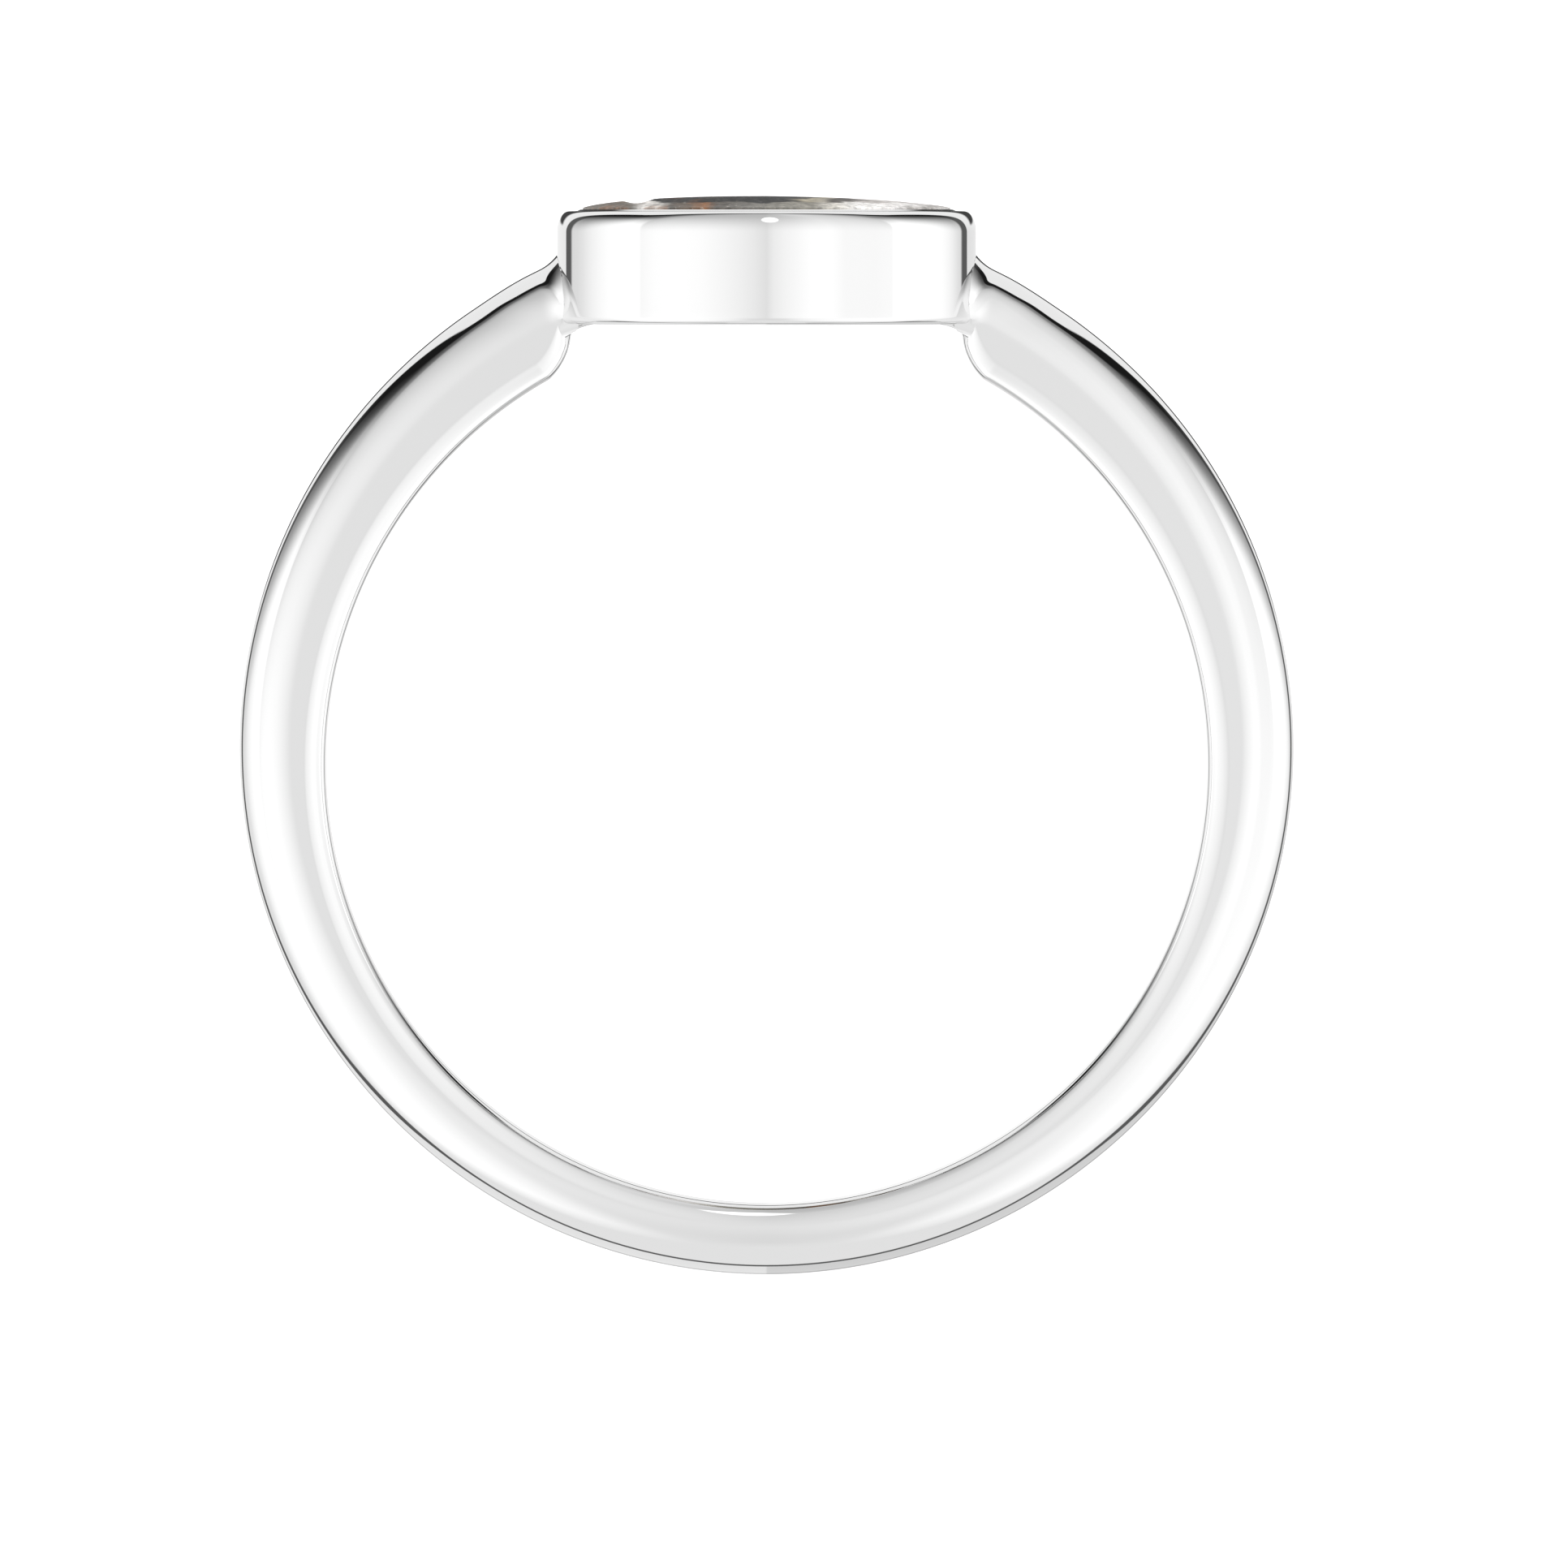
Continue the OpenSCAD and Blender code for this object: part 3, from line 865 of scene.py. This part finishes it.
    # the room darkens straight behind the ring, so that the polished edges get their fine dark lines
    below, over = studio["behindShare"]
    low, high = studio["belowFade"]
    lowShare = addNode(tree, "ShaderNodeMapRange", {
        "Value": upward, "From Min": low, "From Max": high, "To Min": below, "To Max": 1.0},
        interpolation_type="SMOOTHSTEP")
    low, high = studio["aboveFade"]
    isOver = addNode(tree, "ShaderNodeMapRange", {"Value": upward, "From Min": low, "From Max": high},
                     interpolation_type="SMOOTHSTEP")
    share = addNode(tree, "ShaderNodeMix", {0: isOver, 2: lowShare, 3: over}, data_type="FLOAT")
    low, high = studio["behind"]
    isBehind = addNode(tree, "ShaderNodeMapRange", {
        "Value": toward, "From Min": low, "From Max": high, "To Min": 1.0, "To Max": 0.0},
        interpolation_type="SMOOTHSTEP")
    dimmed = addNode(tree, "ShaderNodeMix", {0: isBehind, 2: 1.0, 3: share}, data_type="FLOAT")
    light = addNode(tree, "ShaderNodeMath", {0: light, 1: dimmed}, operation="MULTIPLY")

    mirrored = addNode(tree, "ShaderNodeBackground", {"Color": (1, 1, 1, 1), "Strength": light})
    plain = addNode(tree, "ShaderNodeBackground", {"Color": (1, 1, 1, 1), "Strength": studio["plainLight"]})
    seen = addNode(tree, "ShaderNodeLightPath").outputs["Is Camera Ray"]
    both = addNode(tree, "ShaderNodeMixShader", {0: seen, 1: mirrored, 2: plain})
    addNode(tree, "ShaderNodeOutputWorld", {"Surface": both})


# soft lamp over the sheet; the metal mirrors the studio instead
floorLamp = {
    "width": 0.5,             # metres
    "watts": 2.2,
    "place": (-0.1, 0.35, 0.7),
}

print("lighting the studio")
studioWorld()
lampData = bpy.data.lights.new("floorLamp", "AREA")
lampData.shape = "DISK"
lampData.size = floorLamp["width"]
lampData.energy = floorLamp["watts"]
lamp = bpy.data.objects.new("floorLamp", lampData)
bpy.context.scene.collection.objects.link(lamp)
lamp.location = floorLamp["place"]
lamp.rotation_mode = "QUATERNION"
lamp.rotation_quaternion = (-Vector(lamp.location)).to_track_quat("-Z", "Y")
lamp.visible_glossy = False
lamp.visible_camera = False

# camera: level with the rim of the bezel, straight down the finger's axis, as the photo was taken
camera = {
    "distance": 461.5,
    "height": 10.83,
    "aim": (0.342, -0.406, 0.0),
    "lens": 540.3,
    "sensor": 36,
    "clip": (0.05, 10),       # metres
}
cameraData = bpy.data.cameras.new("camera")
cameraData.sensor_width = camera["sensor"]
cameraData.lens = camera["lens"]
cameraData.clip_start, cameraData.clip_end = camera["clip"]
cameraObject = bpy.data.objects.new("camera", cameraData)
bpy.context.scene.collection.objects.link(cameraObject)
eye = ringPlace @ Vector((0, camera["height"], camera["distance"]))
aim = ringPlace @ Vector(camera["aim"])
back = (eye - aim).normalized()
side = toHead.cross(back).normalized()
upright = back.cross(side)
cameraObject.matrix_world = Matrix.Translation(eye) @ Matrix((side, upright, back)).transposed().to_4x4()
bpy.context.scene.camera = cameraObject
bpy.context.scene.view_settings.view_transform = "Standard"
